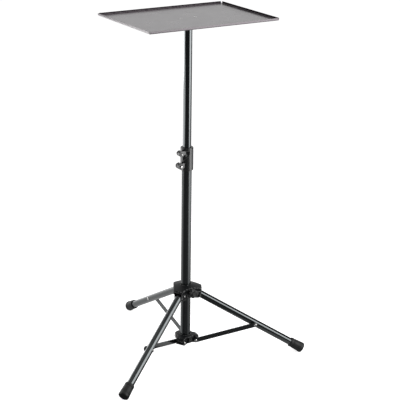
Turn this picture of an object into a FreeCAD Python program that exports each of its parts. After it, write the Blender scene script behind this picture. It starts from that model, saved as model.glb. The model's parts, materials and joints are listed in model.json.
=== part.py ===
import FreeCAD, Part
import math
import os

# A tripod laptop stand, in millimetres, +Z up.
# The origin is where the pole's axis meets the floor, X runs along the tray's long side
# and the three legs point to the back (+Y), the front left and the front right.

# Pole
LOWER_TUBE_OD = 30.0
LOWER_TUBE_WALL = 1.5
LOWER_TUBE_TOP_Z = 636.0
UPPER_TUBE_OD = 25.4
UPPER_TUBE_WALL = 1.5
UPPER_TUBE_LENGTH = 560.0
GLIDE_LENGTH = 40.0
GLIDE_STEM_LENGTH = 12.0

# Tray
TRAY_UNDERSIDE_Z = 1029.0
TRAY_LENGTH = 413.0
TRAY_DEPTH = 300.0
TRAY_SHEET = 1.5
TRAY_RIM_HEIGHT = 7.0
TRAY_BEND_RADIUS = 1.5
TRAY_CORNER_RELIEF = 3.6
TRAY_RIM_END_RADIUS = 2.5
TRAY_SCREW_SPACING = 46.0
TRAY_SCREW_SHANK = 5.0
TRAY_SCREW_HEAD = 9.5
BRACKET_LENGTH = 78.0
BRACKET_WIDTH = 42.0
BRACKET_PLATE = 4.0
BRACKET_CORNER_RADIUS = 8.0
BRACKET_SOCKET_WALL = 3.5
BRACKET_SOCKET_DEPTH = 26.0

# Height clamp
CLAMP_OD = 38.0
CLAMP_ABOVE_LOWER_TUBE = 19.0
CLAMP_LENGTH = 69.0
CLAMP_EDGE_RADIUS = 2.0
CLAMP_EAR_FRONT_Y = -19.0
CLAMP_EAR_BACK_Y = -9.0
CLAMP_WEB_FRONT_Y = -12.5
CLAMP_WEB_SET_IN = 2.0
CLAMP_FLAT_FROM_AXIS = 16.2
CLAMP_FLAT_AZIMUTH = 235.0
CLAMP_FLAT_BELOW_TOP = 9.0
CLAMP_FLAT_EDGE_SLOPE = 47.5
CLAMP_FLAT_EDGE_BELOW_TOP = 17.6
CLAMP_BOLT_DIAMETER = 5.0
CLAMP_BOLT_HEAD_HEIGHT = 2.5
UPPER_KNOB_DIAMETER = 16.0
UPPER_KNOB_LENGTH = 9.0
UPPER_KNOB_BELOW_TOP = 14.0
UPPER_BOLT_HEAD = 7.5
LOWER_KNOB_DIAMETER = 18.0
LOWER_KNOB_LENGTH = 11.0
LOWER_KNOB_ABOVE_BOTTOM = 17.5
LOWER_BOLT_HEAD = 10.0
KNOB_FLUTES = 9
KNOB_FLUTE_RADIUS = 1.6
KNOB_EDGE_RADIUS = 1.4
KNOB_TO_CLAMP = 1.2

# Legs and struts
LEG_SIDES = ("back", "left", "right")
BACK_LEG_ANGLE = 90.0
LEG_LENGTH = 376.5
LEG_TUBE_OD = 22.0
LEG_TUBE_WALL = 1.5
LEG_BELOW_HORIZONTAL = 30.0
LEG_PLUG_LENGTH = 14.0
FOOT_LENGTH = 45.0
FOOT_MOUTH_OD = 28.6
FOOT_RING_LENGTH = 9.0
FOOT_GROOVE_WIDTH = 2.0
FOOT_GROOVE_DEPTH = 0.9
FOOT_END_OD = 32.5
FOOT_END_RADIUS = 5.0
FOOT_MOUTH_RADIUS = 1.2
FOOT_END_WALL = 6.0
STRUT_PIVOT_ALONG_LEG = 206.0
STRUT_WIDTH = 14.0
STRUT_THICKNESS = 4.0
STRUT_EDGE_RADIUS = 1.0
STRUT_TO_LEG = 1.5
PIN_DIAMETER = 6.0
RIVET_HEAD = 9.5
RIVET_HEAD_HEIGHT = 2.3
RIVET_HEAD_ROUNDING = 1.8

# Sliding hub
HUB_PIVOT_R = 33.0
HUB_ARM_END_R = 48.0
HUB_ARM_HALF_WIDTH = 15.0
HUB_ARM_CORNER_RADIUS = 7.5
HUB_EAR_BELOW_PIVOT = 14.0
HUB_EAR_CORNER_RADIUS = 12.0
HUB_TOP_ABOVE_PIVOT = 26.5
HUB_TOP_SLOPE = 15.5
HUB_ROOF_EDGE_RADIUS = 2.0
HUB_SKIRT_ABOVE_PIN = 1.2
HUB_CORE_OD = 42.0
HUB_SCOOP_R = 31.0
HUB_BOLT_ABOVE_PIVOT = 10.5
HUB_BOLT_DIAMETER = 8.0
HUB_BOSS_DIAMETER = 19.0
HUB_BOSS_END_R = 41.0
STAR_KNOB_LOBES = 5
STAR_KNOB_DIAMETER = 27.0
STAR_KNOB_LOBE_RADIUS = 4.3
STAR_KNOB_LENGTH = 15.0
STAR_KNOB_EDGE_RADIUS = 1.5

# Base collar
COLLAR_PIVOT_R = 31.4
COLLAR_PIVOT_Z = 46.0
COLLAR_TOP_ABOVE_PIVOT = 17.0
COLLAR_TOP_SLOPE = 11.0
COLLAR_ROOF_EDGE_RADIUS = 2.5
COLLAR_EAVES_SLOPE = 45.0
COLLAR_EAVES_START_R = 30.0
COLLAR_BELOW_PIVOT = 8.0
COLLAR_FLOOR = 3.0
COLLAR_ARM_FAR_SIDE = 16.0
COLLAR_ARM_END_R = 40.5
COLLAR_EAR_CORNER_RADIUS = 9.0
COLLAR_CORE_OD = 54.0
COLLAR_CORE_EDGE_RADIUS = 6.5
COLLAR_ARM_CORNER_RADIUS = 8.0
SET_SCREW_ABOVE_PIVOT = 6.0
SET_SCREW_THREAD = 8.0
SET_SCREW_HEAD = 9.5
SET_SCREW_HEAD_HEIGHT = 4.0
SET_SCREW_SOCKET = 4.0
SET_SCREW_SOCKET_DEPTH = 2.0

# Fits
SLIDE_FIT = 0.10
PIN_FIT = 0.05
SEAT_FIT = 0.02
SIDE_GAP = 0.5

Z_AXIS = FreeCAD.Vector(0, 0, 1)
ORIGIN = FreeCAD.Vector(0, 0, 0)
CUT_REACH = 200.0
TINY = 0.000001


def vec(x, y, z):
    return FreeCAD.Vector(x, y, z)


def rod(diameter, start, end):
    """A round bar between two points."""
    return Part.makeCylinder(diameter / 2, (end - start).Length, start, end - start)


def block(x0, x1, y0, y1, z0, z1):
    return Part.makeBox(x1 - x0, y1 - y0, z1 - z0, vec(x0, y0, z0))


def turned(shape, azimuth):
    """A copy turned about the pole from the +X direction to an azimuth."""
    copy = shape.copy()
    copy.rotate(ORIGIN, Z_AXIS, azimuth)
    return copy


def revolved(points, axis_start, axis):
    """A ring of straight profile edges turned about an axis."""
    wire = Part.makePolygon(points + points[:1])
    return Part.Face(wire).revolve(axis_start, axis, 360)


def edges_where(shape, test):
    return [edge for edge in shape.Edges if test(edge)]


def is_upright(edge):
    start, end = edge.Vertexes[0].Point, edge.Vertexes[-1].Point
    return abs(start.z - end.z) > 1 and math.hypot(start.x - end.x, start.y - end.y) < TINY


def save(shape, node):
    shape.exportStep("parts/%s.step" % node)


# Pole

COLLAR_BOTTOM_Z = COLLAR_PIVOT_Z - COLLAR_BELOW_PIVOT
LOWER_TUBE_BOTTOM_Z = COLLAR_BOTTOM_Z + COLLAR_FLOOR
LOWER_TUBE_ID = LOWER_TUBE_OD - 2 * LOWER_TUBE_WALL
UPPER_TUBE_TOP_Z = TRAY_UNDERSIDE_Z - BRACKET_PLATE
UPPER_TUBE_BOTTOM_Z = UPPER_TUBE_TOP_Z - UPPER_TUBE_LENGTH
UPPER_TUBE_ID = UPPER_TUBE_OD - 2 * UPPER_TUBE_WALL


def lower_tube():
    start, end = vec(0, 0, LOWER_TUBE_BOTTOM_Z), vec(0, 0, LOWER_TUBE_TOP_Z)
    return rod(LOWER_TUBE_OD, start, end).cut(rod(LOWER_TUBE_ID, start, end))


def upper_tube():
    start, end = vec(0, 0, UPPER_TUBE_BOTTOM_Z), vec(0, 0, UPPER_TUBE_TOP_Z)
    return rod(UPPER_TUBE_OD, start, end).cut(rod(UPPER_TUBE_ID, start, end))


def upper_tube_glide():
    """The bush that guides the upper tube's end, with a stem that the tube turns on."""
    top = vec(0, 0, UPPER_TUBE_BOTTOM_Z - SIDE_GAP)
    foot = vec(0, 0, top.z - GLIDE_LENGTH)
    body = rod(LOWER_TUBE_ID - 2 * SLIDE_FIT, foot, top)
    stem = rod(UPPER_TUBE_ID - 2 * PIN_FIT, top, vec(0, 0, UPPER_TUBE_BOTTOM_Z + GLIDE_STEM_LENGTH))
    return body.fuse(stem).removeSplitter()


# Tray

TRAY_FLOOR_Z = TRAY_UNDERSIDE_Z + TRAY_SHEET
TRAY_OUTER_BEND = TRAY_BEND_RADIUS + TRAY_SHEET


def tray_rim(reach, run):
    """One bent-up rim: its outer face stands at `reach` along +X and it runs `run` along Y."""
    bend = reach - TRAY_OUTER_BEND
    inner = reach - TRAY_SHEET
    base = TRAY_UNDERSIDE_Z
    top = base + TRAY_RIM_HEIGHT
    half = math.sqrt(0.5)

    def point(x, z):
        return vec(x, -run / 2, z)

    def bend_arc(radius, start, end):
        middle = point(bend + half * radius, base + TRAY_OUTER_BEND - half * radius)
        return Part.Arc(start, middle, end).toShape()

    outer_low, outer_high = point(bend, base), point(reach, base + TRAY_OUTER_BEND)
    inner_high, inner_low = point(inner, base + TRAY_OUTER_BEND), point(bend, base + TRAY_SHEET)
    profile = Part.Wire([
        bend_arc(TRAY_OUTER_BEND, outer_low, outer_high),
        Part.makeLine(outer_high, point(reach, top)),
        Part.makeLine(point(reach, top), point(inner, top)),
        Part.makeLine(point(inner, top), inner_high),
        bend_arc(TRAY_BEND_RADIUS, inner_high, inner_low),
        Part.makeLine(inner_low, outer_low),
    ])
    rim = Part.Face(profile).extrude(vec(0, run, 0))
    end_corners = edges_where(rim, lambda edge: (
        abs(edge.Length - TRAY_SHEET) < TINY
        and all(abs(v.Point.z - top) < TINY for v in edge.Vertexes)))
    return rim.makeFillet(TRAY_RIM_END_RADIUS, end_corners)


def tray_screw_points():
    return {"left": vec(-TRAY_SCREW_SPACING / 2, 0, 0), "right": vec(TRAY_SCREW_SPACING / 2, 0, 0)}


def tray_screw(point, clearance):
    """A flush countersunk screw, from the tray's floor through the bracket plate."""
    head = TRAY_SCREW_HEAD / 2 + clearance
    shank = TRAY_SCREW_SHANK / 2 + clearance
    floor = TRAY_FLOOR_Z
    tip = UPPER_TUBE_TOP_Z
    neck = floor - (TRAY_SCREW_HEAD - TRAY_SCREW_SHANK) / 2
    profile = [vec(0, 0, tip), vec(shank, 0, tip), vec(shank, 0, neck), vec(head, 0, floor), vec(0, 0, floor)]
    screw = revolved(profile, ORIGIN, Z_AXIS)
    screw.translate(point)
    return screw


def tray():
    """The tray's flat sheet, up to where the rims bend up from it."""
    x_floor, y_floor = TRAY_LENGTH / 2 - TRAY_OUTER_BEND, TRAY_DEPTH / 2 - TRAY_OUTER_BEND
    floor = block(-x_floor, x_floor, -y_floor, y_floor, TRAY_UNDERSIDE_Z, TRAY_FLOOR_Z)
    return floor.cut([tray_screw(point, SEAT_FIT) for point in tray_screw_points().values()])


def tray_rims():
    side_run = TRAY_DEPTH - 2 * TRAY_CORNER_RELIEF
    front_run = TRAY_LENGTH - 2 * TRAY_CORNER_RELIEF
    return {
        "right": tray_rim(TRAY_LENGTH / 2, side_run),
        "back": turned(tray_rim(TRAY_DEPTH / 2, front_run), 90),
        "left": turned(tray_rim(TRAY_LENGTH / 2, side_run), 180),
        "front": turned(tray_rim(TRAY_DEPTH / 2, front_run), 270),
    }


def tray_bracket():
    """The plate under the tray, with the socket that the upper tube ends in."""
    half_length, half_width = BRACKET_LENGTH / 2, BRACKET_WIDTH / 2
    plate = block(-half_length, half_length, -half_width, half_width, UPPER_TUBE_TOP_Z, TRAY_UNDERSIDE_Z)
    plate = plate.makeFillet(BRACKET_CORNER_RADIUS, edges_where(plate, is_upright))
    low, high = vec(0, 0, UPPER_TUBE_TOP_Z - BRACKET_SOCKET_DEPTH), vec(0, 0, UPPER_TUBE_TOP_Z)
    bore = UPPER_TUBE_OD + 2 * SEAT_FIT
    socket = rod(bore + 2 * BRACKET_SOCKET_WALL, low, high)
    bracket = plate.fuse(socket).removeSplitter().cut(rod(bore, low, high))
    return bracket.cut([tray_screw(point, SEAT_FIT) for point in tray_screw_points().values()])


# Height clamp

CLAMP_TOP_Z = LOWER_TUBE_TOP_Z + CLAMP_ABOVE_LOWER_TUBE
CLAMP_BOTTOM_Z = CLAMP_TOP_Z - CLAMP_LENGTH
CLAMP_FLAT_TOP_Z = CLAMP_TOP_Z - CLAMP_FLAT_BELOW_TOP
CLAMP_FLAT_EDGE_Z = CLAMP_TOP_Z - CLAMP_FLAT_EDGE_BELOW_TOP
UPPER_KNOB_Z = CLAMP_TOP_Z - UPPER_KNOB_BELOW_TOP
LOWER_KNOB_Z = CLAMP_BOTTOM_Z + LOWER_KNOB_ABOVE_BOTTOM
KNOBS = {
    "upper": (UPPER_KNOB_DIAMETER, UPPER_KNOB_LENGTH, UPPER_KNOB_Z, UPPER_BOLT_HEAD),
    "lower": (LOWER_KNOB_DIAMETER, LOWER_KNOB_LENGTH, LOWER_KNOB_Z, LOWER_BOLT_HEAD),
}


def knob_x(diameter):
    """Where a clamp screw stands, so that its knob clears the sleeve."""
    return -(CLAMP_OD / 2 + KNOB_TO_CLAMP + diameter / 2)


def clamp_ear(diameter, z):
    """The ear around one clamp screw: a round boss and a thinner web to the sleeve."""
    x = knob_x(diameter)
    half_web = diameter / 2 - CLAMP_WEB_SET_IN
    web = block(x, 0, CLAMP_WEB_FRONT_Y, CLAMP_EAR_BACK_Y, z - half_web, z + half_web)
    return rod(diameter, vec(x, CLAMP_EAR_FRONT_Y, z), vec(x, CLAMP_EAR_BACK_Y, z)).fuse(web)


def clamp_flat():
    """What is cut off for the sleeve's flat under its top ring; the flat's lower edge slants."""
    flat = block(CLAMP_FLAT_FROM_AXIS, CUT_REACH, -CUT_REACH, CUT_REACH, CLAMP_BOTTOM_Z, CLAMP_FLAT_TOP_Z)
    above = block(-CUT_REACH, CUT_REACH, -CUT_REACH, CUT_REACH, 0, CUT_REACH)
    above.rotate(ORIGIN, vec(0, 1, 0), -CLAMP_FLAT_EDGE_SLOPE)
    above.translate(vec(0, 0, CLAMP_FLAT_EDGE_Z))
    return turned(flat, CLAMP_FLAT_AZIMUTH).common(above)


def clamp_sleeve():
    bottom, top = vec(0, 0, CLAMP_BOTTOM_Z), vec(0, 0, CLAMP_TOP_Z)
    sleeve = rod(CLAMP_OD, bottom, top)
    sleeve = sleeve.makeFillet(CLAMP_EDGE_RADIUS, edges_where(sleeve, lambda edge: edge.isClosed()))
    sleeve = sleeve.cut(clamp_flat())
    sleeve = sleeve.fuse([clamp_ear(diameter, z) for diameter, length, z, head in KNOBS.values()])
    shoulder = vec(0, 0, LOWER_TUBE_TOP_Z)
    cuts = [
        rod(LOWER_TUBE_OD + 2 * SEAT_FIT, bottom, shoulder),
        rod(UPPER_TUBE_OD + 2 * SLIDE_FIT, bottom, top),
    ]
    for diameter, length, z, head in KNOBS.values():
        front = vec(knob_x(diameter), CLAMP_EAR_FRONT_Y, z)
        back = vec(knob_x(diameter), CLAMP_EAR_BACK_Y, z)
        cuts.append(rod(CLAMP_BOLT_DIAMETER + 2 * PIN_FIT, front, back))
    return sleeve.cut(cuts)


def fluted(knob, diameter, start, end):
    """A round knob along Y with grip grooves cut along its side."""
    grooves = []
    for index in range(KNOB_FLUTES):
        angle = 2 * math.pi * index / KNOB_FLUTES
        shift = vec(math.cos(angle), 0, math.sin(angle)) * (diameter / 2 + KNOB_FLUTE_RADIUS / 2)
        grooves.append(rod(2 * KNOB_FLUTE_RADIUS, start + shift, end + shift))
    return knob.cut(grooves)


def clamp_knob(diameter, length, z):
    x = knob_x(diameter)
    start = vec(x, CLAMP_EAR_BACK_Y + SIDE_GAP, z)
    end = vec(x, start.y + length, z)
    knob = rod(diameter, start, end)
    knob = knob.makeFillet(KNOB_EDGE_RADIUS, edges_where(knob, lambda edge: edge.isClosed()))
    knob = fluted(knob, diameter, start, end)
    return knob.cut(rod(CLAMP_BOLT_DIAMETER + 2 * SEAT_FIT, start, vec(x, (start.y + end.y) / 2, z)))


def clamp_bolt(diameter, length, z, head):
    """The screw through one ear, with its head in front and its end inside the knob."""
    x = knob_x(diameter)
    tip = vec(x, CLAMP_EAR_BACK_Y + SIDE_GAP + length / 2, z)
    seat = vec(x, CLAMP_EAR_FRONT_Y - SIDE_GAP, z)
    head_end = vec(x, seat.y - CLAMP_BOLT_HEAD_HEIGHT, z)
    return rod(CLAMP_BOLT_DIAMETER, seat, tip).fuse(rod(head, head_end, seat)).removeSplitter()


# Legs and struts, each made on the +X side and turned to its azimuth

LEG_AZIMUTHS = {side: BACK_LEG_ANGLE + 360 / len(LEG_SIDES) * turn for turn, side in enumerate(LEG_SIDES)}
LEG_RADIUS = LEG_TUBE_OD / 2
LEG_SLOPE = math.radians(LEG_BELOW_HORIZONTAL)
LEG_DIRECTION = vec(math.cos(LEG_SLOPE), 0, -math.sin(LEG_SLOPE))
# The foot's rounded lower edge just meets the floor.
FOOT_EDGE_DROP = (FOOT_END_OD / 2 - FOOT_END_RADIUS) * math.cos(LEG_SLOPE) + FOOT_END_RADIUS
HUB_PIVOT_Z = (LEG_LENGTH - FOOT_END_RADIUS) * math.sin(LEG_SLOPE) + FOOT_EDGE_DROP
HUB_PIVOT = vec(HUB_PIVOT_R, 0, HUB_PIVOT_Z)
COLLAR_PIVOT = vec(COLLAR_PIVOT_R, 0, COLLAR_PIVOT_Z)
LEG_PIVOT = HUB_PIVOT + LEG_DIRECTION * STRUT_PIVOT_ALONG_LEG
STRUT_INNER_Y = -(LEG_RADIUS + STRUT_TO_LEG)
STRUT_OUTER_Y = STRUT_INNER_Y - STRUT_THICKNESS


def along_leg(distance):
    return HUB_PIVOT + LEG_DIRECTION * distance


def side_rod(diameter, pivot, y0, y1):
    """A round bar along Y through a pivot."""
    return rod(diameter, vec(pivot.x, y0, pivot.z), vec(pivot.x, y1, pivot.z))


def rivet_head(pivot, seat_y, side):
    """A low domed rivet head whose flat side is at seat_y and which points to `side` along Y."""
    end_y = seat_y + side * RIVET_HEAD_HEIGHT
    head = side_rod(RIVET_HEAD, pivot, seat_y, end_y)
    rim = edges_where(head, lambda edge: edge.isClosed() and abs(edge.CenterOfMass.y - end_y) < TINY)
    return head.makeFillet(RIVET_HEAD_ROUNDING, rim)


def leg_tube():
    end = along_leg(LEG_LENGTH - FOOT_END_WALL)
    outer = rod(LEG_TUBE_OD, HUB_PIVOT, end).fuse(Part.makeSphere(LEG_RADIUS, HUB_PIVOT)).removeSplitter()
    hollow = rod(LEG_TUBE_OD - 2 * LEG_TUBE_WALL, along_leg(LEG_PLUG_LENGTH), end)
    pin = side_rod(PIN_DIAMETER + 2 * PIN_FIT, HUB_PIVOT, -LEG_TUBE_OD, LEG_TUBE_OD)
    rivet = side_rod(PIN_DIAMETER + 2 * SEAT_FIT, LEG_PIVOT, -LEG_TUBE_OD, LEG_TUBE_OD)
    return outer.cut([hollow, pin, rivet])


def foot():
    """The rubber cap on a leg's end."""
    end, mouth = LEG_LENGTH, LEG_LENGTH - FOOT_LENGTH
    ring_end = mouth + FOOT_RING_LENGTH
    boot = ring_end + FOOT_GROOVE_WIDTH
    ring, groove = FOOT_MOUTH_OD / 2, FOOT_MOUTH_OD / 2 - FOOT_GROOVE_DEPTH
    profile = [vec(0, 0, mouth), vec(ring, 0, mouth), vec(ring, 0, ring_end), vec(groove, 0, ring_end),
               vec(groove, 0, boot), vec(ring, 0, boot), vec(FOOT_END_OD / 2, 0, end), vec(0, 0, end)]
    cap = revolved(profile, ORIGIN, Z_AXIS)
    end_rim = edges_where(cap, lambda edge: edge.isClosed() and abs(edge.CenterOfMass.z - end) < TINY)
    mouth_rim = edges_where(cap, lambda edge: edge.isClosed() and abs(edge.CenterOfMass.z - mouth) < TINY)
    cap = cap.makeFillet(FOOT_END_RADIUS, end_rim).makeFillet(FOOT_MOUTH_RADIUS, mouth_rim)
    cap = cap.cut(rod(LEG_TUBE_OD + 2 * SEAT_FIT, vec(0, 0, mouth), vec(0, 0, end - FOOT_END_WALL)))
    cap.rotate(ORIGIN, vec(0, 1, 0), 90 + LEG_BELOW_HORIZONTAL)
    cap.translate(HUB_PIVOT)
    return cap


def leg_rivet():
    """The leg's half of the strut joint: a head on the far side and a shank that ends flush with the tube."""
    shank = side_rod(PIN_DIAMETER, LEG_PIVOT, -LEG_RADIUS, LEG_RADIUS)
    return shank.fuse(rivet_head(LEG_PIVOT, LEG_RADIUS, 1)).removeSplitter()


def strut():
    """A flat bar with round ends, beside the leg."""
    reach = LEG_PIVOT - COLLAR_PIVOT
    angle = math.degrees(math.atan2(reach.z, reach.x))
    half = STRUT_WIDTH / 2
    y0, y1 = STRUT_OUTER_Y, STRUT_INNER_Y
    bar = block(0, reach.Length, y0, y1, -half, half)
    ends = [rod(STRUT_WIDTH, vec(x, y0, 0), vec(x, y1, 0)) for x in (0, reach.Length)]
    bar = bar.fuse(ends).removeSplitter()
    bar = bar.makeFillet(STRUT_EDGE_RADIUS, edges_where(bar, lambda edge: (
        abs(edge.BoundBox.YMin - edge.BoundBox.YMax) < TINY)))
    bar.rotate(ORIGIN, vec(0, 1, 0), -angle)
    bar.translate(COLLAR_PIVOT)
    inner_hole = side_rod(PIN_DIAMETER + 2 * PIN_FIT, COLLAR_PIVOT, y0, y1)
    outer_hole = side_rod(PIN_DIAMETER + 2 * SEAT_FIT, LEG_PIVOT, y0, y1)
    return bar.cut([inner_hole, outer_hole])


def strut_rivet():
    """The strut's half of the strut joint: a head outside and a shank inside the bar."""
    shank = side_rod(PIN_DIAMETER, LEG_PIVOT, STRUT_OUTER_Y, STRUT_INNER_Y)
    return shank.fuse(rivet_head(LEG_PIVOT, STRUT_OUTER_Y, -1)).removeSplitter()


# Sliding hub

HUB_TOP_Z = HUB_PIVOT_Z + HUB_TOP_ABOVE_PIVOT
HUB_BOLT_Z = HUB_PIVOT_Z + HUB_BOLT_ABOVE_PIVOT
HUB_ARM_BOTTOM_Z = HUB_PIVOT_Z - HUB_EAR_BELOW_PIVOT
HUB_SKIRT_BOTTOM_Z = HUB_PIVOT_Z + RIVET_HEAD / 2 + HUB_SKIRT_ABOVE_PIN
HUB_SLOT_HALF_WIDTH = LEG_RADIUS + SIDE_GAP
HUB_SLOT_TOP_Z = HUB_PIVOT_Z + LEG_RADIUS + SIDE_GAP
HUB_BORE = LOWER_TUBE_OD + 2 * SLIDE_FIT
SIN_60 = math.sin(math.radians(60))


def roof_cone(top_z, slope, flat_radius, reach, bottom_z):
    """A solid under a shallow cone that starts at flat_radius."""
    rim_z = top_z - (reach - flat_radius) * math.tan(math.radians(slope))
    profile = [vec(0, 0, bottom_z), vec(reach, 0, bottom_z), vec(reach, 0, rim_z),
               vec(flat_radius, 0, top_z), vec(0, 0, top_z)]
    return revolved(profile, ORIGIN, Z_AXIS)


def roof_rim(body, top_z):
    """The outer edges of a body's sloping roof."""
    roof = next(face for face in body.Faces if isinstance(face.Surface, Part.Cone))
    return edges_where(roof, lambda edge: all(abs(v.Point.z - top_z) > TINY for v in edge.Vertexes))


def scoop(half_width, inner_radius, bottom_z, top_z):
    """The round hollow between the two front arms, tangent to their sides, where a screw is reached."""
    centre = (inner_radius - half_width) / (1 - SIN_60)
    return Part.makeCylinder(centre - inner_radius, top_z - bottom_z, vec(0, -centre, bottom_z))


def rounded_arm(near, far, reach, bottom_z, top_z, corner_radius, ear_radius):
    """An arm along +X, rounded in plan at its end and rounded up below its end."""
    plan = block(0, reach, near, far, bottom_z, top_z)
    side = plan.copy()
    corners = edges_where(plan, lambda edge: is_upright(edge) and abs(edge.CenterOfMass.x - reach) < TINY)
    tip = edges_where(side, lambda edge: (
        abs(edge.CenterOfMass.x - reach) < TINY and abs(edge.CenterOfMass.z - bottom_z) < TINY))
    return plan.makeFillet(corner_radius, corners).common(side.makeFillet(ear_radius, tip))


def hub_arm():
    return rounded_arm(-HUB_ARM_HALF_WIDTH, HUB_ARM_HALF_WIDTH, HUB_ARM_END_R, HUB_ARM_BOTTOM_Z, HUB_TOP_Z,
                       HUB_ARM_CORNER_RADIUS, HUB_EAR_CORNER_RADIUS)


def hub_skirt():
    """The rounded six-cornered body between the arms."""
    corners = []
    for azimuth in LEG_AZIMUTHS.values():
        for side in (-1, 1):
            corner = Part.Vertex(vec(HUB_ARM_END_R, side * HUB_ARM_HALF_WIDTH, HUB_SKIRT_BOTTOM_Z))
            corners.append(turned(corner, azimuth).Point)
    face = Part.Face(Part.makePolygon(corners + corners[:1]))
    skirt = face.extrude(vec(0, 0, HUB_TOP_Z - HUB_SKIRT_BOTTOM_Z))
    return skirt.makeFillet(HUB_ARM_CORNER_RADIUS, edges_where(skirt, is_upright))


def hub():
    core = rod(HUB_CORE_OD, vec(0, 0, HUB_ARM_BOTTOM_Z), vec(0, 0, HUB_TOP_Z))
    arms = [turned(hub_arm(), azimuth) for azimuth in LEG_AZIMUTHS.values()]
    body = hub_skirt().fuse(arms + [core]).removeSplitter()
    cone = roof_cone(HUB_TOP_Z, HUB_TOP_SLOPE, HUB_BORE / 2, 2 * HUB_ARM_END_R, HUB_ARM_BOTTOM_Z)
    body = body.common(cone)
    body = body.cut(scoop(HUB_ARM_HALF_WIDTH, HUB_SCOOP_R, HUB_ARM_BOTTOM_Z, HUB_TOP_Z))
    body = body.makeFillet(HUB_ROOF_EDGE_RADIUS, roof_rim(body, HUB_TOP_Z))
    body = body.fuse(rod(HUB_BOSS_DIAMETER, vec(0, 0, HUB_BOLT_Z), vec(0, -HUB_BOSS_END_R, HUB_BOLT_Z)))
    cuts = [
        rod(HUB_BORE, vec(0, 0, HUB_ARM_BOTTOM_Z), vec(0, 0, HUB_TOP_Z)),
        rod(HUB_BOLT_DIAMETER + 2 * PIN_FIT, vec(0, 0, HUB_BOLT_Z), vec(0, -HUB_BOSS_END_R, HUB_BOLT_Z)),
    ]
    slot = block(HUB_CORE_OD / 2, CUT_REACH, -HUB_SLOT_HALF_WIDTH, HUB_SLOT_HALF_WIDTH,
                 HUB_ARM_BOTTOM_Z, HUB_SLOT_TOP_Z)
    pin = side_rod(PIN_DIAMETER + 2 * SEAT_FIT, HUB_PIVOT, -HUB_ARM_HALF_WIDTH, HUB_ARM_HALF_WIDTH)
    for azimuth in LEG_AZIMUTHS.values():
        cuts.append(turned(slot, azimuth))
        cuts.append(turned(pin, azimuth))
    return body.cut(cuts)


def leg_pivot_pin():
    half = HUB_ARM_HALF_WIDTH
    pin = side_rod(PIN_DIAMETER, HUB_PIVOT, -half, half)
    return pin.fuse([rivet_head(HUB_PIVOT, half, 1), rivet_head(HUB_PIVOT, -half, -1)]).removeSplitter()


def star_knob():
    """The lobed knob that locks the hub on the pole."""
    start, end = -(HUB_BOSS_END_R + SIDE_GAP), -(HUB_BOSS_END_R + SIDE_GAP + STAR_KNOB_LENGTH)
    lobe_circle = STAR_KNOB_DIAMETER / 2 - STAR_KNOB_LOBE_RADIUS
    knob = rod(2 * lobe_circle, vec(0, start, HUB_BOLT_Z), vec(0, end, HUB_BOLT_Z))
    lobes = []
    for index in range(STAR_KNOB_LOBES):
        angle = math.pi / 2 + 2 * math.pi * index / STAR_KNOB_LOBES
        x, z = lobe_circle * math.cos(angle), HUB_BOLT_Z + lobe_circle * math.sin(angle)
        lobes.append(rod(2 * STAR_KNOB_LOBE_RADIUS, vec(x, start, z), vec(x, end, z)))
    knob = knob.fuse(lobes).removeSplitter()
    outer_face = edges_where(knob, lambda edge: all(abs(v.Point.y - end) < TINY for v in edge.Vertexes))
    knob = knob.makeFillet(STAR_KNOB_EDGE_RADIUS, outer_face)
    socket_end = vec(0, (start + end) / 2, HUB_BOLT_Z)
    return knob.cut(rod(HUB_BOLT_DIAMETER + 2 * SEAT_FIT, vec(0, start, HUB_BOLT_Z), socket_end))


def star_knob_bolt():
    """The clamping screw from the pole's surface into the star knob."""
    tip = vec(0, -(LOWER_TUBE_OD / 2 + SIDE_GAP), HUB_BOLT_Z)
    end = vec(0, -(HUB_BOSS_END_R + SIDE_GAP + STAR_KNOB_LENGTH / 2), HUB_BOLT_Z)
    return rod(HUB_BOLT_DIAMETER, tip, end)


# Base collar

COLLAR_TOP_Z = COLLAR_PIVOT_Z + COLLAR_TOP_ABOVE_PIVOT
SET_SCREW_Z = COLLAR_PIVOT_Z + SET_SCREW_ABOVE_PIVOT
COLLAR_ARM_NEAR_SIDE = LEG_RADIUS + STRUT_TO_LEG - SIDE_GAP


def collar_arm():
    return rounded_arm(-COLLAR_ARM_NEAR_SIDE, COLLAR_ARM_FAR_SIDE, COLLAR_ARM_END_R,
                       COLLAR_BOTTOM_Z, COLLAR_TOP_Z, COLLAR_ARM_CORNER_RADIUS, COLLAR_EAR_CORNER_RADIUS)


def collar_pin_hole():
    return side_rod(PIN_DIAMETER + 2 * SEAT_FIT, COLLAR_PIVOT, -COLLAR_ARM_NEAR_SIDE, COLLAR_ARM_FAR_SIDE)


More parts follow.
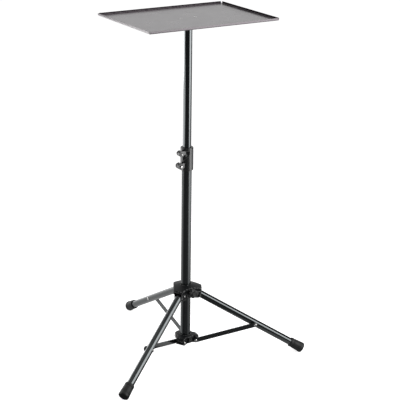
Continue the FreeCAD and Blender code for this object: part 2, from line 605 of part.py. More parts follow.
def base_collar():
    bottom, top = vec(0, 0, COLLAR_BOTTOM_Z), vec(0, 0, COLLAR_TOP_Z)
    arms = [turned(collar_arm(), azimuth) for azimuth in LEG_AZIMUTHS.values()]
    core = rod(COLLAR_CORE_OD, bottom, top)
    low_rim = edges_where(core, lambda edge: edge.isClosed() and abs(edge.CenterOfMass.z - bottom.z) < TINY)
    body = core.makeFillet(COLLAR_CORE_EDGE_RADIUS, low_rim).fuse(arms).removeSplitter()
    bore = LOWER_TUBE_OD + 2 * SEAT_FIT
    cone = roof_cone(COLLAR_TOP_Z, COLLAR_TOP_SLOPE, bore / 2, 2 * COLLAR_ARM_END_R, COLLAR_BOTTOM_Z)
    body = body.common(cone)
    body = body.makeFillet(COLLAR_ROOF_EDGE_RADIUS, roof_rim(body, COLLAR_TOP_Z))
    reach = COLLAR_ARM_END_R + COLLAR_ROOF_EDGE_RADIUS
    eaves = roof_cone(COLLAR_TOP_Z, COLLAR_EAVES_SLOPE, COLLAR_EAVES_START_R, reach, COLLAR_BOTTOM_Z)
    body = body.common(eaves)
    screw_end = vec(0, -COLLAR_ARM_END_R, SET_SCREW_Z)
    cuts = [
        rod(bore, vec(0, 0, LOWER_TUBE_BOTTOM_Z), top),
        rod(SET_SCREW_THREAD + 2 * SEAT_FIT, vec(0, 0, SET_SCREW_Z), screw_end),
    ]
    cuts += [turned(collar_pin_hole(), azimuth) for azimuth in LEG_AZIMUTHS.values()]
    return body.cut(cuts)


def collar_set_screw():
    """The square-headed screw that fixes the collar on the tube."""
    seat_y = -(COLLAR_CORE_OD / 2)
    end_y = seat_y - SET_SCREW_HEAD_HEIGHT
    half = SET_SCREW_HEAD / 2
    shank = rod(SET_SCREW_THREAD, vec(0, -LOWER_TUBE_OD / 2, SET_SCREW_Z), vec(0, seat_y, SET_SCREW_Z))
    head = block(-half, half, end_y, seat_y, SET_SCREW_Z - half, SET_SCREW_Z + half)
    socket_half = SET_SCREW_SOCKET / 2
    socket = block(-socket_half, socket_half, end_y, end_y + SET_SCREW_SOCKET_DEPTH,
                   SET_SCREW_Z - socket_half, SET_SCREW_Z + socket_half)
    return shank.fuse(head).removeSplitter().cut(socket)


def collar_pin():
    near, far = STRUT_OUTER_Y - PIN_FIT, COLLAR_ARM_FAR_SIDE
    pin = side_rod(PIN_DIAMETER, COLLAR_PIVOT, near, far)
    return pin.fuse([rivet_head(COLLAR_PIVOT, far, 1), rivet_head(COLLAR_PIVOT, near, -1)]).removeSplitter()


def main():
    os.makedirs("parts", exist_ok=True)
    save(lower_tube(), "lower_tube")
    save(upper_tube(), "upper_tube")
    save(upper_tube_glide(), "upper_tube_glide")
    save(tray(), "tray")
    for side, rim in tray_rims().items():
        save(rim, "tray_rim_" + side)
    save(tray_bracket(), "tray_bracket")
    for side, point in tray_screw_points().items():
        save(tray_screw(point, 0), "tray_screw_" + side)
    save(clamp_sleeve(), "clamp_sleeve")
    for level, (diameter, length, z, head) in KNOBS.items():
        save(clamp_knob(diameter, length, z), "clamp_knob_" + level)
        save(clamp_bolt(diameter, length, z, head), "clamp_bolt_" + level)
    save(hub(), "leg_hub")
    save(star_knob(), "star_knob")
    save(star_knob_bolt(), "star_knob_bolt")
    save(base_collar(), "base_collar")
    save(collar_set_screw(), "collar_set_screw")
    for side, azimuth in LEG_AZIMUTHS.items():
        save(turned(leg_tube(), azimuth), "leg_" + side)
        save(turned(foot(), azimuth), "foot_" + side)
        save(turned(leg_rivet(), azimuth), "leg_rivet_" + side)
        save(turned(leg_pivot_pin(), azimuth), "leg_pivot_pin_" + side)
        save(turned(strut(), azimuth), "strut_" + side)
        save(turned(strut_rivet(), azimuth), "strut_rivet_" + side)
        save(turned(collar_pin(), azimuth), "collar_pin_" + side)


main()
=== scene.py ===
import bpy
import json
import math
from mathutils import Matrix, Quaternion, Vector


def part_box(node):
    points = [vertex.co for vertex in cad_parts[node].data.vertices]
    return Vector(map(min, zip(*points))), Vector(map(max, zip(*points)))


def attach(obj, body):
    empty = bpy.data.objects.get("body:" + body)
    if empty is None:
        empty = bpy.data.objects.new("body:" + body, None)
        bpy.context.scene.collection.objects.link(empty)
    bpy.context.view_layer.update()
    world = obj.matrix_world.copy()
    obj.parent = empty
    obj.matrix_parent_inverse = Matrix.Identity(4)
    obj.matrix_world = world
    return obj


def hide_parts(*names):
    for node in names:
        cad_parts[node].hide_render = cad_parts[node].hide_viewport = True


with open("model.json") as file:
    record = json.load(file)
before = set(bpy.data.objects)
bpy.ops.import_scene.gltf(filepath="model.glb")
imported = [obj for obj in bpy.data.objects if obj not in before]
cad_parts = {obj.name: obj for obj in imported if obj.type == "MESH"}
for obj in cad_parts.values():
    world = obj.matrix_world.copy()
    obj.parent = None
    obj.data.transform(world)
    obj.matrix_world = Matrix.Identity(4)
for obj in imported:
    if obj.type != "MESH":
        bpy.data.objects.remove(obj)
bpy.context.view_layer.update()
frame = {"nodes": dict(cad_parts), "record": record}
nodes = frame["nodes"]
joints = {joint["name"]: joint for joint in frame["record"]["behaviour"]["joints"]}
LEG_BEARINGS = {"back": 90.0, "left": 210.0, "right": 330.0}


# Node helpers

def node_in(tree, kind, sockets=None, **settings):
    """Adds a node; sockets maps an input's name or number to a value or to an output to link."""
    node = tree.nodes.new(kind)
    for key, value in settings.items():
        setattr(node, key, value)
    for key, value in (sockets or {}).items():
        if isinstance(value, bpy.types.NodeSocket):
            tree.links.new(value, node.inputs[key])
        else:
            node.inputs[key].default_value = value
    return node


def math_in(tree, operation, first, second=0.0, clamp=False):
    node = node_in(tree, "ShaderNodeMath", {0: first, 1: second}, operation=operation, use_clamp=clamp)
    return node.outputs[0]


def new_tree(name, kind, inputs, outputs):
    tree = bpy.data.node_groups.new(name, kind)
    for label, socket, value in inputs:
        made = tree.interface.new_socket(label, in_out="INPUT", socket_type=socket)
        if value is not None:
            made.default_value = value
    for label, socket in outputs:
        tree.interface.new_socket(label, in_out="OUTPUT", socket_type=socket)
    return tree, tree.nodes.new("NodeGroupInput"), tree.nodes.new("NodeGroupOutput")


# Shared surface effects

def coating_grain():
    """The fine peel of a sprayed coating or of a moulded skin: a height and a slow drift of tone."""
    tree, given, out = new_tree(
        "coating_grain", "ShaderNodeTree",
        [("Grains per metre", "NodeSocketFloat", 900.0), ("Drift per metre", "NodeSocketFloat", 14.0)],
        [("Height", "NodeSocketFloat"), ("Drift", "NodeSocketFloat")])
    place = node_in(tree, "ShaderNodeTexCoord").outputs["Object"]
    grain = node_in(tree, "ShaderNodeTexNoise", {"Vector": place, "Scale": given.outputs[0], "Detail": 3.0,
                                                 "Roughness": 0.55})
    drift = node_in(tree, "ShaderNodeTexNoise", {"Vector": place, "Scale": given.outputs[1], "Detail": 2.0})
    tree.links.new(grain.outputs["Fac"], out.inputs["Height"])
    tree.links.new(drift.outputs["Fac"], out.inputs["Drift"])
    return tree


def edge_rub():
    """Where handling has rubbed the open edges, sharp or rounded: a softened normal and a broken mask along them. The
    mask is also used as a painted highlight along rims.
    """
    tree, given, out = new_tree(
        "edge_rub", "ShaderNodeTree",
        [("Edge radius", "NodeSocketFloat", 0.0006), ("Patches per metre", "NodeSocketFloat", 160.0)],
        [("Mask", "NodeSocketFloat"), ("Normal", "NodeSocketVector")])
    soft = node_in(tree, "ShaderNodeBevel", {"Radius": given.outputs[0]}, samples=6)
    flat = node_in(tree, "ShaderNodeNewGeometry").outputs["Normal"]
    turn = node_in(tree, "ShaderNodeVectorMath", {0: soft.outputs[0], 1: flat}, operation="DOT_PRODUCT")
    edge = node_in(tree, "ShaderNodeMapRange", {"Value": turn.outputs["Value"], "From Min": 0.995, "From Max": 0.86})
    thin = node_in(tree, "ShaderNodeAmbientOcclusion", {"Distance": given.outputs[0]}, samples=6, inside=True,
                   only_local=True)
    rounded = node_in(tree, "ShaderNodeMapRange", {"Value": thin.outputs["AO"], "From Min": 0.95, "From Max": 0.78})
    edge = math_in(tree, "MAXIMUM", edge.outputs[0], rounded.outputs[0])
    reached = node_in(tree, "ShaderNodeAmbientOcclusion", {"Distance": 0.008}, samples=6)
    reached = node_in(tree, "ShaderNodeMapRange", {"Value": reached.outputs["AO"], "From Min": 0.60, "From Max": 0.85})
    edge = math_in(tree, "MULTIPLY", edge, reached.outputs[0])
    place = node_in(tree, "ShaderNodeTexCoord").outputs["Object"]
    patch = node_in(tree, "ShaderNodeTexNoise", {"Vector": place, "Scale": given.outputs[1], "Detail": 4.0})
    broken = node_in(tree, "ShaderNodeMapRange", {"Value": patch.outputs["Fac"], "From Min": 0.42, "From Max": 0.62})
    tree.links.new(math_in(tree, "MULTIPLY", edge, broken.outputs[0]), out.inputs["Mask"])
    tree.links.new(soft.outputs[0], out.inputs["Normal"])
    return tree


def settled_dust():
    """A thin film of dust on faces that look up."""
    tree, given, out = new_tree(
        "settled_dust", "ShaderNodeTree",
        [("Clumps per metre", "NodeSocketFloat", 60.0), ("Most", "NodeSocketFloat", 0.1)],
        [("Mask", "NodeSocketFloat")])
    facing = node_in(tree, "ShaderNodeSeparateXYZ",
                     {0: node_in(tree, "ShaderNodeNewGeometry").outputs["Normal"]}).outputs["Z"]
    upward = node_in(tree, "ShaderNodeMapRange", {"Value": facing, "From Min": 0.35, "From Max": 0.95}).outputs[0]
    place = node_in(tree, "ShaderNodeTexCoord").outputs["Object"]
    clump = node_in(tree, "ShaderNodeTexNoise", {"Vector": place, "Scale": given.outputs[0], "Detail": 5.0})
    cover = math_in(tree, "MULTIPLY", upward, clump.outputs["Fac"])
    tree.links.new(math_in(tree, "MULTIPLY", cover, given.outputs[1]), out.inputs["Mask"])
    return tree


GRAIN, EDGE_WEAR_AND_HIGHLIGHT_GROUP, DUST = coating_grain(), edge_rub(), settled_dust()


def placed(tree, group, sockets):
    return node_in(tree, "ShaderNodeGroup", sockets, node_tree=group)


def mixed(tree, mask, first, second):
    node = node_in(tree, "ShaderNodeMix", data_type="RGBA")
    for socket, value in ((node.inputs[0], mask), (node.inputs[6], first), (node.inputs[7], second)):
        if isinstance(value, bpy.types.NodeSocket):
            tree.links.new(value, socket)
        else:
            socket.default_value = value
    return node.outputs[2]


def grey(value, warm=0.0):
    return (value * (1 + warm), value, value * (1 - warm), 1.0)


def finish(name, dark, light, rough, grains, peel, edge, edge_tone_worn_and_lit, worn_and_lit_share, dusty, metal=0.0, coat=0.0, ior=1.5,
           sheen=(1.0, 1.0, 1.0, 1.0)):
    """One finish. dark and light are the base colour's ends, rough the roughness's. grains is per metre and peel
    their height in metres. edge is the softened radius in metres. The edge tone is the colour along the edges, partly
    wear and partly a painted highlight, and its share says how much of it shows. dusty is the dust's share at most,
    sheen the cast of what the finish mirrors."""
    material = bpy.data.materials.new(name)
    material.use_nodes = True
    tree = material.node_tree
    surface = tree.nodes["Principled BSDF"]
    grain = placed(tree, GRAIN, {"Grains per metre": grains, "Drift per metre": 22.0})
    edge_marks_worn_and_lit = placed(tree, EDGE_WEAR_AND_HIGHLIGHT_GROUP, {"Edge radius": edge, "Patches per metre": 190.0})
    dust = placed(tree, DUST, {"Clumps per metre": 75.0, "Most": dusty})
    tone = mixed(tree, grain.outputs["Drift"], dark, light)
    # The edge tone laid on here is wear, and on some finishes a painted highlight.
    worn_and_lit_mask = math_in(tree, "MULTIPLY", edge_marks_worn_and_lit.outputs["Mask"], worn_and_lit_share)
    tone = mixed(tree, worn_and_lit_mask, tone, edge_tone_worn_and_lit)
    tone = mixed(tree, dust.outputs["Mask"], tone, grey(0.42, 0.04))
    gloss = node_in(tree, "ShaderNodeMapRange", {"Value": grain.outputs["Drift"], "From Min": 0.3, "From Max": 0.7,
                                                 "To Min": rough[0], "To Max": rough[1]}).outputs[0]
    gloss = math_in(tree, "ADD", gloss, dust.outputs["Mask"], clamp=True)
    bump = node_in(tree, "ShaderNodeBump", {"Height": grain.outputs["Height"], "Distance": peel, "Strength": 1.0,
                                            "Normal": edge_marks_worn_and_lit.outputs["Normal"]})
    tree.links.new(tone, surface.inputs["Base Color"])
    tree.links.new(gloss, surface.inputs["Roughness"])
    tree.links.new(bump.outputs[0], surface.inputs["Normal"])
    surface.inputs["Metallic"].default_value = metal
    surface.inputs["IOR"].default_value = ior
    surface.inputs["Specular Tint"].default_value = sheen
    surface.inputs["Coat Weight"].default_value = coat
    surface.inputs["Coat Roughness"].default_value = 0.12
    return material


FINISHES = {
    "tube_black": finish(
        "gloss_black_tube", dark=grey(0.003, -0.12), light=grey(0.006, -0.12), rough=(0.09, 0.13), coat=0.5, ior=1.8,
        sheen=(0.90, 0.98, 1.0, 1.0), grains=700, peel=0.0000012, edge=0.0004, edge_tone_worn_and_lit=grey(0.10), worn_and_lit_share=0.5,
        dusty=0.01),
    "tray_black": finish(
        "satin_black_tray", dark=(0.012, 0.006, 0.010, 1.0), light=(0.015, 0.008, 0.013, 1.0), rough=(0.27, 0.30),
        coat=0.3, ior=1.7, sheen=(1.0, 0.90, 0.97, 1.0), grains=1200, peel=0.0000010, edge=0.0004, edge_tone_worn_and_lit=grey(0.12),
        worn_and_lit_share=0.5, dusty=0.005),
    # The light edge tone along the hub's and collar's rims is a painted highlight as well as wear.
    "moulded_black": finish(
        "moulded_black_plastic", dark=grey(0.005, -0.12), light=grey(0.010, -0.12), rough=(0.46, 0.54), ior=1.3,
        grains=2600, peel=0.000004, edge=0.0030, edge_tone_worn_and_lit=grey(0.24), worn_and_lit_share=0.9, dusty=0.005),
    # The light edge tone along the clamp's diagonal step is a painted highlight as well as wear.
    "satin_black": finish(
        "satin_black_clamp", dark=grey(0.005, -0.10), light=grey(0.009, -0.10), rough=(0.34, 0.40), coat=0.1, ior=1.75,
        grains=1400, peel=0.0000015, edge=0.0014, edge_tone_worn_and_lit=grey(0.26), worn_and_lit_share=0.9, dusty=0.01),
    "knob_black": finish(
        "knob_black_plastic", dark=grey(0.012), light=grey(0.020), rough=(0.34, 0.42), grains=3000, peel=0.000006,
        edge=0.0008, edge_tone_worn_and_lit=grey(0.10), worn_and_lit_share=0.7, dusty=0.02),
    "foot_rubber": finish(
        "foot_black_rubber", dark=grey(0.007, -0.10), light=grey(0.012, -0.08), rough=(0.48, 0.60), ior=1.45,
        grains=1800, peel=0.000012, edge=0.0010, edge_tone_worn_and_lit=grey(0.05), worn_and_lit_share=0.4, dusty=0.05),
    "bright_steel": finish(
        "bright_plated_steel", dark=grey(0.50, 0.01), light=grey(0.62, 0.01), rough=(0.20, 0.30), metal=1.0,
        grains=2400, peel=0.000003, edge=0.0003, edge_tone_worn_and_lit=grey(0.75), worn_and_lit_share=0.5, dusty=0.03),
    "dark_steel": finish(
        "dark_plated_steel", dark=grey(0.08), light=grey(0.14), rough=(0.24, 0.34), metal=1.0,
        grains=2400, peel=0.000003, edge=0.0003, edge_tone_worn_and_lit=grey(0.30), worn_and_lit_share=0.6, dusty=0.03),
}


slots = {part["node"]: part["material_slot"] for part in frame["record"]["subparts"]}
for name, piece in nodes.items():
    piece.data.materials.clear()
    piece.data.materials.append(FINISHES[slots[name]])


# Turned pieces: pins, rivets, screws, knobs and feet

def turning():
    """Turns a profile about its axis, sinks lobes into it and sets copies of it round the pole.
    A profile point holds its radius in X, its height in Z and its share of the lobes in Y."""
    tree, given, out = new_tree(
        "turned_pieces", "GeometryNodeTree",
        [("Profile", "NodeSocketGeometry", None), ("Steps round", "NodeSocketInt", 48),
         ("Lobes", "NodeSocketInt", 0), ("Lobe depth", "NodeSocketFloat", 0.0),
         ("Lobe narrowness", "NodeSocketFloat", 1.0), ("Lobe turn", "NodeSocketFloat", 0.0),
         ("Axis", "NodeSocketVector", (0.0, 0.0, 1.0)), ("Count", "NodeSocketInt", 1),
         ("First angle", "NodeSocketFloat", 0.0), ("Ring radius", "NodeSocketFloat", 0.0),
         ("Place", "NodeSocketVector", (0.0, 0.0, 0.0)), ("Finish", "NodeSocketMaterial", None)],
        [("Pieces", "NodeSocketGeometry")])
    socket = given.outputs
    rows = node_in(tree, "GeometryNodeAttributeDomainSize", {0: socket["Profile"]}).outputs["Point Count"]
    columns = math_in(tree, "ADD", socket["Steps round"], 1.0)
    skin = node_in(tree, "GeometryNodeMeshGrid", {"Vertices X": columns, "Vertices Y": rows}).outputs["Mesh"]
    index = node_in(tree, "GeometryNodeInputIndex").outputs[0]
    row = math_in(tree, "MODULO", index, rows)
    column = math_in(tree, "FLOOR", math_in(tree, "DIVIDE", index, rows))
    angle = math_in(tree, "MULTIPLY", math_in(tree, "DIVIDE", column, socket["Steps round"]), 2 * math.pi)
    spot = node_in(tree, "GeometryNodeInputPosition").outputs[0]
    taken = node_in(tree, "GeometryNodeSampleIndex", {"Geometry": socket["Profile"], "Value": spot, "Index": row},
                    data_type="FLOAT_VECTOR", domain="POINT").outputs["Value"]
    point = node_in(tree, "ShaderNodeSeparateXYZ", {0: taken}).outputs
    swing = math_in(tree, "MULTIPLY", math_in(tree, "SUBTRACT", angle, socket["Lobe turn"]), socket["Lobes"])
    dip = math_in(tree, "MULTIPLY", math_in(tree, "SUBTRACT", 1.0, math_in(tree, "COSINE", swing)), 0.5, clamp=True)
    dip = math_in(tree, "POWER", dip, socket["Lobe narrowness"])
    dip = math_in(tree, "MULTIPLY", math_in(tree, "MULTIPLY", dip, socket["Lobe depth"]), point["Y"])
    radius = math_in(tree, "MULTIPLY", point["X"], math_in(tree, "SUBTRACT", 1.0, dip))
    round_spot = node_in(tree, "ShaderNodeCombineXYZ", {
        "X": math_in(tree, "MULTIPLY", radius, math_in(tree, "COSINE", angle)),
        "Y": math_in(tree, "MULTIPLY", radius, math_in(tree, "SINE", angle)), "Z": point["Z"]}).outputs[0]
    skin = node_in(tree, "GeometryNodeSetPosition", {"Geometry": skin, "Position": round_spot}).outputs[0]
    skin = node_in(tree, "GeometryNodeMergeByDistance", {"Geometry": skin, "Distance": 0.000005}).outputs[0]
    bend = node_in(tree, "GeometryNodeInputMeshEdgeAngle").outputs["Unsigned Angle"]
    crisp = node_in(tree, "FunctionNodeCompare", {0: bend, 1: math.radians(38)}, operation="GREATER_THAN").outputs[0]
    skin = node_in(tree, "GeometryNodeSetShadeSmooth", {"Geometry": skin, "Shade Smooth": True}).outputs[0]
    skin = node_in(tree, "GeometryNodeSetShadeSmooth", {"Geometry": skin, "Selection": crisp, "Shade Smooth": False},
                   domain="EDGE").outputs[0]
    lay = node_in(tree, "FunctionNodeAlignRotationToVector", {"Vector": socket["Axis"]}, axis="Z").outputs[0]
    skin = node_in(tree, "GeometryNodeTransform", {"Geometry": skin, "Rotation": lay}).outputs[0]
    step = math_in(tree, "DIVIDE", 2 * math.pi, socket["Count"])
    bearing = math_in(tree, "ADD", socket["First angle"], math_in(tree, "MULTIPLY", index, step))
    around = node_in(tree, "ShaderNodeCombineXYZ", {
        "X": math_in(tree, "MULTIPLY", socket["Ring radius"], math_in(tree, "COSINE", bearing)),
        "Y": math_in(tree, "MULTIPLY", socket["Ring radius"], math_in(tree, "SINE", bearing))}).outputs[0]
    stand = node_in(tree, "ShaderNodeVectorMath", {0: around, 1: socket["Place"]}, operation="ADD").outputs[0]
    ring = node_in(tree, "GeometryNodePoints", {"Count": socket["Count"], "Position": stand}).outputs[0]
    facing = node_in(tree, "ShaderNodeCombineXYZ", {"Z": bearing}).outputs[0]
    copies = node_in(tree, "GeometryNodeInstanceOnPoints", {"Points": ring, "Instance": skin, "Rotation": facing})
    whole = node_in(tree, "GeometryNodeRealizeInstances", {"Geometry": copies.outputs[0]}).outputs[0]
    whole = node_in(tree, "GeometryNodeSetMaterial", {"Geometry": whole, "Material": socket["Finish"]}).outputs[0]
    tree.links.new(whole, out.inputs[0])
    return tree


TURNING = turning()
ROUNDING_STEPS = 5


def profile(*corners):
    """Rounds a profile's corners, each (radius, height, rounding, share of the lobes), all but the share in mm."""
    points = []
    for place, (radius, height, rounding, share) in enumerate(corners):
        here = Vector((radius, height))
        if place in (0, len(corners) - 1) or not rounding:
            points.append((here, share))
            continue
        before = (Vector(corners[place - 1][:2]) - here)
        after = (Vector(corners[place + 1][:2]) - here)
        half = before.angle(after) / 2
        reach = min(rounding / math.tan(half), before.length * 0.49, after.length * 0.49)
        middle = here + (before.normalized() + after.normalized()).normalized() * reach / math.cos(half)
        first, last = here + before.normalized() * reach - middle, here + after.normalized() * reach - middle
        sweep = first.angle_signed(last)
        for step in range(ROUNDING_STEPS + 1):
            turn = Matrix.Rotation(-sweep * step / ROUNDING_STEPS, 2)
            points.append((middle + turn @ first, share))
    return [(spot.x / 1000, share, spot.y / 1000) for spot, share in points]


def turned(name, outline, stands_for, body, slot, **sizes):
    """Makes one turned piece, or a ring of them, that stands for CAD nodes of one body.
    The sizes are the turning tree's inputs by name, with lines for spaces."""
    sketch = bpy.data.meshes.new(name + "_profile")
    sketch.from_pydata(outline, [(i, i + 1) for i in range(len(outline) - 1)], [])
    piece = bpy.data.objects.new(name, sketch)
    bpy.context.scene.collection.objects.link(piece)
    lathe = piece.modifiers.new("turning", "NODES")
    lathe.node_group = TURNING
    sizes["finish"] = FINISHES[slot]
    for item in TURNING.interface.items_tree:
        label = item.name.lower().replace(" ", "_")
        if item.in_out == "INPUT" and label in sizes:
            lathe[item.identifier] = sizes[label]
    scene_state = bpy.context.evaluated_depsgraph_get()
    made = bpy.data.meshes.new_from_object(piece.evaluated_get(scene_state), depsgraph=scene_state)
    piece.modifiers.clear()
    piece.data = made
    made.name = name
    bpy.data.meshes.remove(sketch)
    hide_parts(*stands_for)
    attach(piece, body)
    return piece


def mm(node):
    low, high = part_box(node)
    return [v * 1000 for v in low], [v * 1000 for v in high]


PIN_R, HEAD_R, HEAD_RISE = 3.0, 4.75, 2.3
DIMPLE_R, DIMPLE_DEPTH = 1.5, 0.45


def head_up(top):
    """The end of a profile at a peened head whose crown is at a height."""
    return [(PIN_R, top - HEAD_RISE, 0, 0), (HEAD_R, top - HEAD_RISE, 0.3, 0),
            (HEAD_R, top - HEAD_RISE * 0.55, 1.0, 0), (HEAD_R * 0.62, top, 1.0, 0), (DIMPLE_R, top, 0.3, 0),
            (DIMPLE_R * 0.7, top - DIMPLE_DEPTH, 0.3, 0), (0, top - DIMPLE_DEPTH, 0, 0)]


def head_down(bottom):
    """The start of a profile at a peened head whose crown is at a height."""
    return [(radius, 2 * bottom - height, rounding, share)
            for radius, height, rounding, share in reversed(head_up(bottom))]


def pins_and_rivets():
    """The hub's and the collar's pins in rings of three, and the two halves of each strut's rivet."""
    for name, joint, node, body in (("hub_pins", "leg_back_fold", "leg_pivot_pin", "hub"),
                                    ("collar_pins", "strut_back_fold", "collar_pin", "pole")):
        low, high = mm(node + "_back")
        place = joints[joint]["pos_m"]
        outline = profile(*head_down(-high[0]), *head_up(-low[0]))
        turned(name, outline, [f"{node}_{side}" for side in LEG_BEARINGS], body, "bright_steel", steps_round=40,
               axis=(0.0, 1.0, 0.0), count=3, first_angle=math.radians(LEG_BEARINGS["back"]),
               ring_radius=place[1], place=(0.0, 0.0, place[2]))
    low, high = mm("leg_rivet_back")
    ring = (low[1] + high[1]) / 2000
    height = (low[2] + high[2]) / 2000
    leg_half = profile((0, -high[0], 0, 0), (PIN_R, -high[0], 0.3, 0), *head_up(-low[0]))
    low, high = mm("strut_rivet_back")
    strut_half = profile(*head_down(-high[0]), (PIN_R, -low[0], 0.3, 0), (0, -low[0], 0, 0))
    for side, bearing in LEG_BEARINGS.items():
        for name, outline in ((f"leg_{side}", leg_half), (f"strut_{side}", strut_half)):
            node = name.replace("_", "_rivet_")
            turned(node + "_peened", outline, [node], name, "bright_steel", steps_round=40, axis=(0.0, 1.0, 0.0),
                   first_angle=math.radians(bearing), ring_radius=ring, place=(0.0, 0.0, height))


LEG_SLOPE = math.radians(30.0)
LEG_END, FOOT_MOUTH, LEG_R = 376.5, 331.5, 11.04


def ringed_feet():
    """Each leg's rubber cap: a beaded mouth, a groove, a flared boot with two fine treads near its end."""
    end, mouth = LEG_END, FOOT_MOUTH
    outline = profile(
        (0, end - 6, 0, 0), (LEG_R, end - 6, 0, 0), (LEG_R, mouth, 0.3, 0), (13.1, mouth, 1.2, 0),
        (14.3, mouth + 2.2, 2.0, 0), (14.3, mouth + 9, 0.8, 0), (13.4, mouth + 9.4, 0.5, 0),
        (13.4, mouth + 10.8, 0.5, 0), (14.3, mouth + 11.4, 1.2, 0), (15.2, end - 16.6, 0.4, 0),
        (14.7, end - 16.0, 0.3, 0), (14.7, end - 15.4, 0.3, 0), (15.25, end - 14.8, 0.4, 0),
        (15.4, end - 13.0, 0.4, 0), (14.9, end - 12.4, 0.3, 0), (14.9, end - 11.8, 0.3, 0),
        (15.5, end - 11.2, 0.4, 0), (16.2, end, 5.2, 0), (5.0, end, 0.6, 0), (4.4, end - 0.8, 0.4, 0),
        (0, end - 0.8, 0, 0))
    pivot = joints["leg_back_fold"]["pos_m"]
    for side, bearing in LEG_BEARINGS.items():
        turned(f"foot_{side}_cap", outline, [f"foot_{side}"], f"leg_{side}", "foot_rubber", steps_round=64,
               axis=(math.cos(LEG_SLOPE), 0.0, -math.sin(LEG_SLOPE)), first_angle=math.radians(bearing),
               ring_radius=pivot[1], place=(0.0, 0.0, pivot[2]))


def star_knob():
    """The five-lobed knob: a plain neck at the hub, full lobes, a crowned face with a dished middle."""
    low, high = mm("star_knob")
    base, face = -high[1], -low[1]
    outline = profile(
        (0, base, 0, 0), (8.4, base, 0.4, 0), (8.6, base + 2.0, 0.6, 0.2), (13.5, base + 3.2, 1.0, 1.0),
        (13.5, face - 3.0, 2.4, 1.0), (9.6, face - 0.2, 1.2, 0.7), (6.3, face, 0.5, 0.0),
        (5.3, face - 1.2, 0.5, 0), (0, face - 1.4, 0, 0))
    turned("star_knob_lobed", outline, ["star_knob"], "star_knob", "knob_black", steps_round=120, lobes=5,
           lobe_depth=0.33, lobe_narrowness=1.3, lobe_turn=math.radians(90), axis=(0.0, -1.0, 0.0),
           place=(0.0, 0.0, joints["star_knob_turn"]["pos_m"][2]))


def clamp_knobs_and_bolts():
    """The two fluted clamp knobs and the button heads of their screws."""
    for level, head in (("upper", 3.75), ("lower", 5.0)):
        body = f"clamp_knob_{level}"
        low, high = mm(body)
        x, _, z = (v * 1000 for v in joints[f"{body}_turn"]["pos_m"])
        grip, run = (high[2] - low[2]) / 2, high[1] - low[1]
        outline = profile(
            (0, 0, 0, 0), (grip - 1.2, 0, 0.3, 0.4), (grip, 1.2, 0.8, 1.0), (grip, run - 1.6, 1.2, 1.0),
            (grip * 0.66, run, 0.8, 0.2), (grip * 0.55, run - 0.7, 0.3, 0), (0, run - 0.7, 0, 0))
        turned(f"{body}_fluted", outline, [body], body, "knob_black", steps_round=108, lobes=9, lobe_depth=0.14,
               lobe_narrowness=3.0, axis=(0.0, 1.0, 0.0), place=(x / 1000, low[1] / 1000, z / 1000))
        low, high = mm(f"clamp_bolt_{level}")
        tip, crown = -high[1], -low[1]
        outline = profile(
            (0, tip, 0, 0), (2.5, tip, 0.3, 0), (2.5, crown - 2.5, 0, 0), (head, crown - 2.5, 0.3, 0),
            (head, crown - 1.4, 0.9, 0), (head * 0.62, crown, 1.0, 0), (head * 0.42, crown, 0.2, 1.0),
            (head * 0.36, crown - 1.3, 0.2, 1.0), (0, crown - 1.4, 0, 0))
        turned(f"clamp_bolt_{level}_button", outline, [f"clamp_bolt_{level}"], body, "bright_steel", steps_round=60,
               lobes=6, lobe_depth=0.3, axis=(0.0, -1.0, 0.0), place=(x / 1000, 0.0, z / 1000))


def tray_screws():
    """Two countersunk screws with a cross recess, the heads a hair proud of the tray's floor."""
    low, high = mm("tray_screw_right")
    outline = profile(
        (0, low[2], 0, 0), (2.5, low[2], 0.3, 0), (2.5, high[2] - 2.4, 0.2, 0), (4.6, high[2] - 0.2, 0.2, 0),
        (4.4, high[2] + 0.2, 0.2, 0), (3.1, high[2] + 0.7, 0.3, 0.3), (2.7, high[2] + 0.6, 0.2, 1.0),
        (2.3, high[2] - 1.1, 0.2, 1.0), (0, high[2] - 1.4, 0, 0))
    turned("tray_screw_heads", outline, ["tray_screw_left", "tray_screw_right"], "mast", "bright_steel",
           steps_round=64, lobes=4, lobe_depth=0.64, lobe_narrowness=0.7, count=2,
           ring_radius=(low[0] + high[0]) / 2000)


pins_and_rivets()
ringed_feet()
star_knob()
clamp_knobs_and_bolts()
tray_screws()


# Studio

def studio_sides():
    """How pale each side of the studio is: white straight behind, paler to the left, a patch by the front lamp;
    the wall's pale part on the left is narrower than the floor's."""
    tree, given, out = new_tree(
        "studio_sides", "ShaderNodeTree", [("Way", "NodeSocketVector", (0.0, 0.0, 0.0))],
        [("Behind", "NodeSocketFloat"), ("Left", "NodeSocketFloat"), ("Left wall", "NodeSocketFloat"),
         ("Front right", "NodeSocketFloat")])
    level = node_in(tree, "ShaderNodeVectorMath", {0: given.outputs[0], 1: (1.0, 1.0, 0.0)}, operation="MULTIPLY")
    level = node_in(tree, "ShaderNodeVectorMath", {0: level.outputs[0]}, operation="NORMALIZE").outputs[0]
    for label, bearing, near, far in (("Behind", 66, 36, 24), ("Left", 116, 66, 32), ("Left wall", 96, 30, 14),
                                      ("Front right", 322, 36, 24)):
        towards = (math.cos(math.radians(bearing)), math.sin(math.radians(bearing)), 0.0)
        turn = node_in(tree, "ShaderNodeVectorMath", {0: level, 1: towards}, operation="DOT_PRODUCT").outputs["Value"]
        side = node_in(tree, "ShaderNodeMapRange", {"Value": turn, "From Min": math.cos(math.radians(near)),
                                                    "From Max": math.cos(math.radians(far))}).outputs[0]
        tree.links.new(side, out.inputs[label])
    return tree


SIDES_OF_STUDIO = studio_sides()


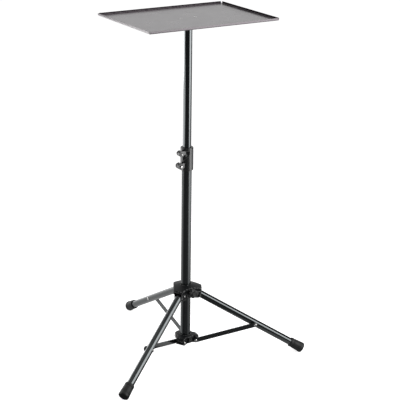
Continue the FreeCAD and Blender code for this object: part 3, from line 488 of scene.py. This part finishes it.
def softbox(name, bearing, away, height, width, tall, radiance, lean=0.0):
    """A lamp panel that faces the pole and may lean; radiance 1 is as bright as a white wall at full light."""
    lamp = bpy.data.lights.new(name, "AREA")
    lamp.shape = "RECTANGLE"
    lamp.size, lamp.size_y = width, tall
    lamp.energy = radiance * math.pi * width * tall
    panel = bpy.data.objects.new(name, lamp)
    turn = math.radians(bearing)
    panel.location = (away * math.cos(turn), away * math.sin(turn), height)
    panel.rotation_mode = "QUATERNION"
    towards = Vector((0, 0, height)) if away else Vector((0, 0, 0))
    facing = (towards - panel.location).to_track_quat("-Z", "Y")
    panel.rotation_quaternion = facing @ Quaternion((0, 0, 1), math.radians(lean))
    bpy.context.scene.collection.objects.link(panel)
    return panel


def backdrop():
    """A white studio as the camera sees it; what the coatings mirror is paler behind and to the left."""
    world = bpy.data.worlds.new("white_studio")
    bpy.context.scene.world = world
    world.use_nodes = True
    tree = world.node_tree
    light = tree.nodes["Background"]
    path = node_in(tree, "ShaderNodeLightPath")
    way = node_in(tree, "ShaderNodeTexCoord").outputs["Generated"]
    sides = placed(tree, SIDES_OF_STUDIO, {"Way": way})
    side = node_in(tree, "ShaderNodeMapRange", {"Value": sides.outputs["Left wall"], "To Min": 0.04, "To Max": 0.4})
    behind = math_in(tree, "MULTIPLY", sides.outputs["Behind"], 0.93)
    sweep = math_in(tree, "MAXIMUM", side.outputs[0], behind)
    seen = math_in(tree, "MAXIMUM", sweep, path.outputs["Is Camera Ray"])
    seen = math_in(tree, "MAXIMUM", seen, path.outputs["Is Transmission Ray"])
    shown = math_in(tree, "MAXIMUM", path.outputs["Is Camera Ray"], path.outputs["Is Glossy Ray"])
    shown = math_in(tree, "MAXIMUM", shown, path.outputs["Is Transmission Ray"])
    tone = node_in(tree, "ShaderNodeMix", {0: shown, 2: 0.35, 3: seen}, data_type="FLOAT")
    tree.links.new(tone.outputs[0], light.inputs["Color"])
    light.inputs["Strength"].default_value = 1.0


def pale_floor():
    """A white sheet for the camera that keeps the shadow; what the coatings mirror of it is darkened near the pole by
    a painted shade.
    """
    mesh = bpy.data.meshes.new("studio_floor")
    half = 30.0
    mesh.from_pydata([(-half, -half, 0), (half, -half, 0), (half, half, 0), (-half, half, 0)], [], [(0, 1, 2, 3)])
    floor = bpy.data.objects.new("studio_floor", mesh)
    bpy.context.scene.collection.objects.link(floor)
    pale = bpy.data.materials.new("pale_floor")
    pale.use_nodes = True
    tree = pale.node_tree
    surface = tree.nodes["Principled BSDF"]
    surface.inputs["Roughness"].default_value = 0.9
    surface.inputs["Specular IOR Level"].default_value = 0.0
    path = node_in(tree, "ShaderNodeLightPath")
    place = node_in(tree, "ShaderNodeTexCoord").outputs["Object"]
    sides = placed(tree, SIDES_OF_STUDIO, {"Way": place})
    away = node_in(tree, "ShaderNodeVectorMath", {0: place}, operation="LENGTH").outputs["Value"]
    # Painted shade: the floor is darker near the pole, standing in for the stand's shadow.
    painted_shade_near_pole = node_in(tree, "ShaderNodeMapRange", {"Value": away, "From Min": 0.35, "From Max": 1.05, "To Min": 0.27,
                                               "To Max": 1.0}).outputs[0]
    sweep = math_in(tree, "MAXIMUM", sides.outputs["Behind"], sides.outputs["Front right"])
    sweep = math_in(tree, "MULTIPLY", sweep, painted_shade_near_pole)
    sweep = math_in(tree, "MAXIMUM", sweep, math_in(tree, "MULTIPLY", sides.outputs["Left"], 0.45))
    paper = math_in(tree, "MAXIMUM", sweep, path.outputs["Is Camera Ray"])
    tree.links.new(mixed(tree, paper, grey(0.15), grey(0.82)), surface.inputs["Base Color"])
    shown = math_in(tree, "MULTIPLY", sweep, path.outputs["Is Glossy Ray"])
    shown = math_in(tree, "MAXIMUM", shown, path.outputs["Is Camera Ray"])
    tree.links.new(mixed(tree, shown, grey(0.0), grey(1.0)), surface.inputs["Emission Color"])
    surface.inputs["Emission Strength"].default_value = 0.75
    mesh.materials.append(pale)


def keep_off(panel, piece):
    """Keeps a lamp and its mirror image off one piece, as a card held before the lamp does."""
    shaded = bpy.data.collections.new(panel.name + "_kept_off")
    shaded.objects.link(piece)
    shaded.collection_objects[0].light_linking.link_state = "EXCLUDE"
    panel.light_linking.receiver_collection = shaded


def lamps():
    """Four softboxes. The tray's floor would mirror the front one as plain white when seen from behind."""
    front_right = softbox("front_right_softbox", 304, 1.9, 1.2, 1.5, 2.3, 4.0, lean=31)
    keep_off(front_right, nodes["tray"])
    softbox("back_left_softbox", 140, 1.7, 0.22, 3.4, 0.36, 2.4)
    softbox("left_rim_softbox", 126, 1.7, 0.56, 2.2, 0.30, 5.0)
    softbox("top_softbox", 0, 0.0, 3.2, 3.0, 3.0, 0.35)


def camera():
    view = bpy.data.cameras.new("photo_camera")
    view.lens, view.sensor_width = 110.0888, 36.0
    view.clip_end = 100.0
    eye = bpy.data.objects.new("photo_camera", view)
    forward = Vector((0.4960005, 0.8026754, -0.3312036))
    up = Vector((0.1631606, 0.2884812, 0.9434815))
    right = forward.cross(up)
    turn = Matrix((right, up, -forward)).transposed().to_4x4()
    eye.matrix_world = Matrix.Translation((-1.7429739, -2.8962390, 1.6790754)) @ turn
    bpy.context.scene.collection.objects.link(eye)
    bpy.context.scene.camera = eye


backdrop()
pale_floor()
lamps()
camera()
bpy.context.scene.view_settings.view_transform = "Standard"
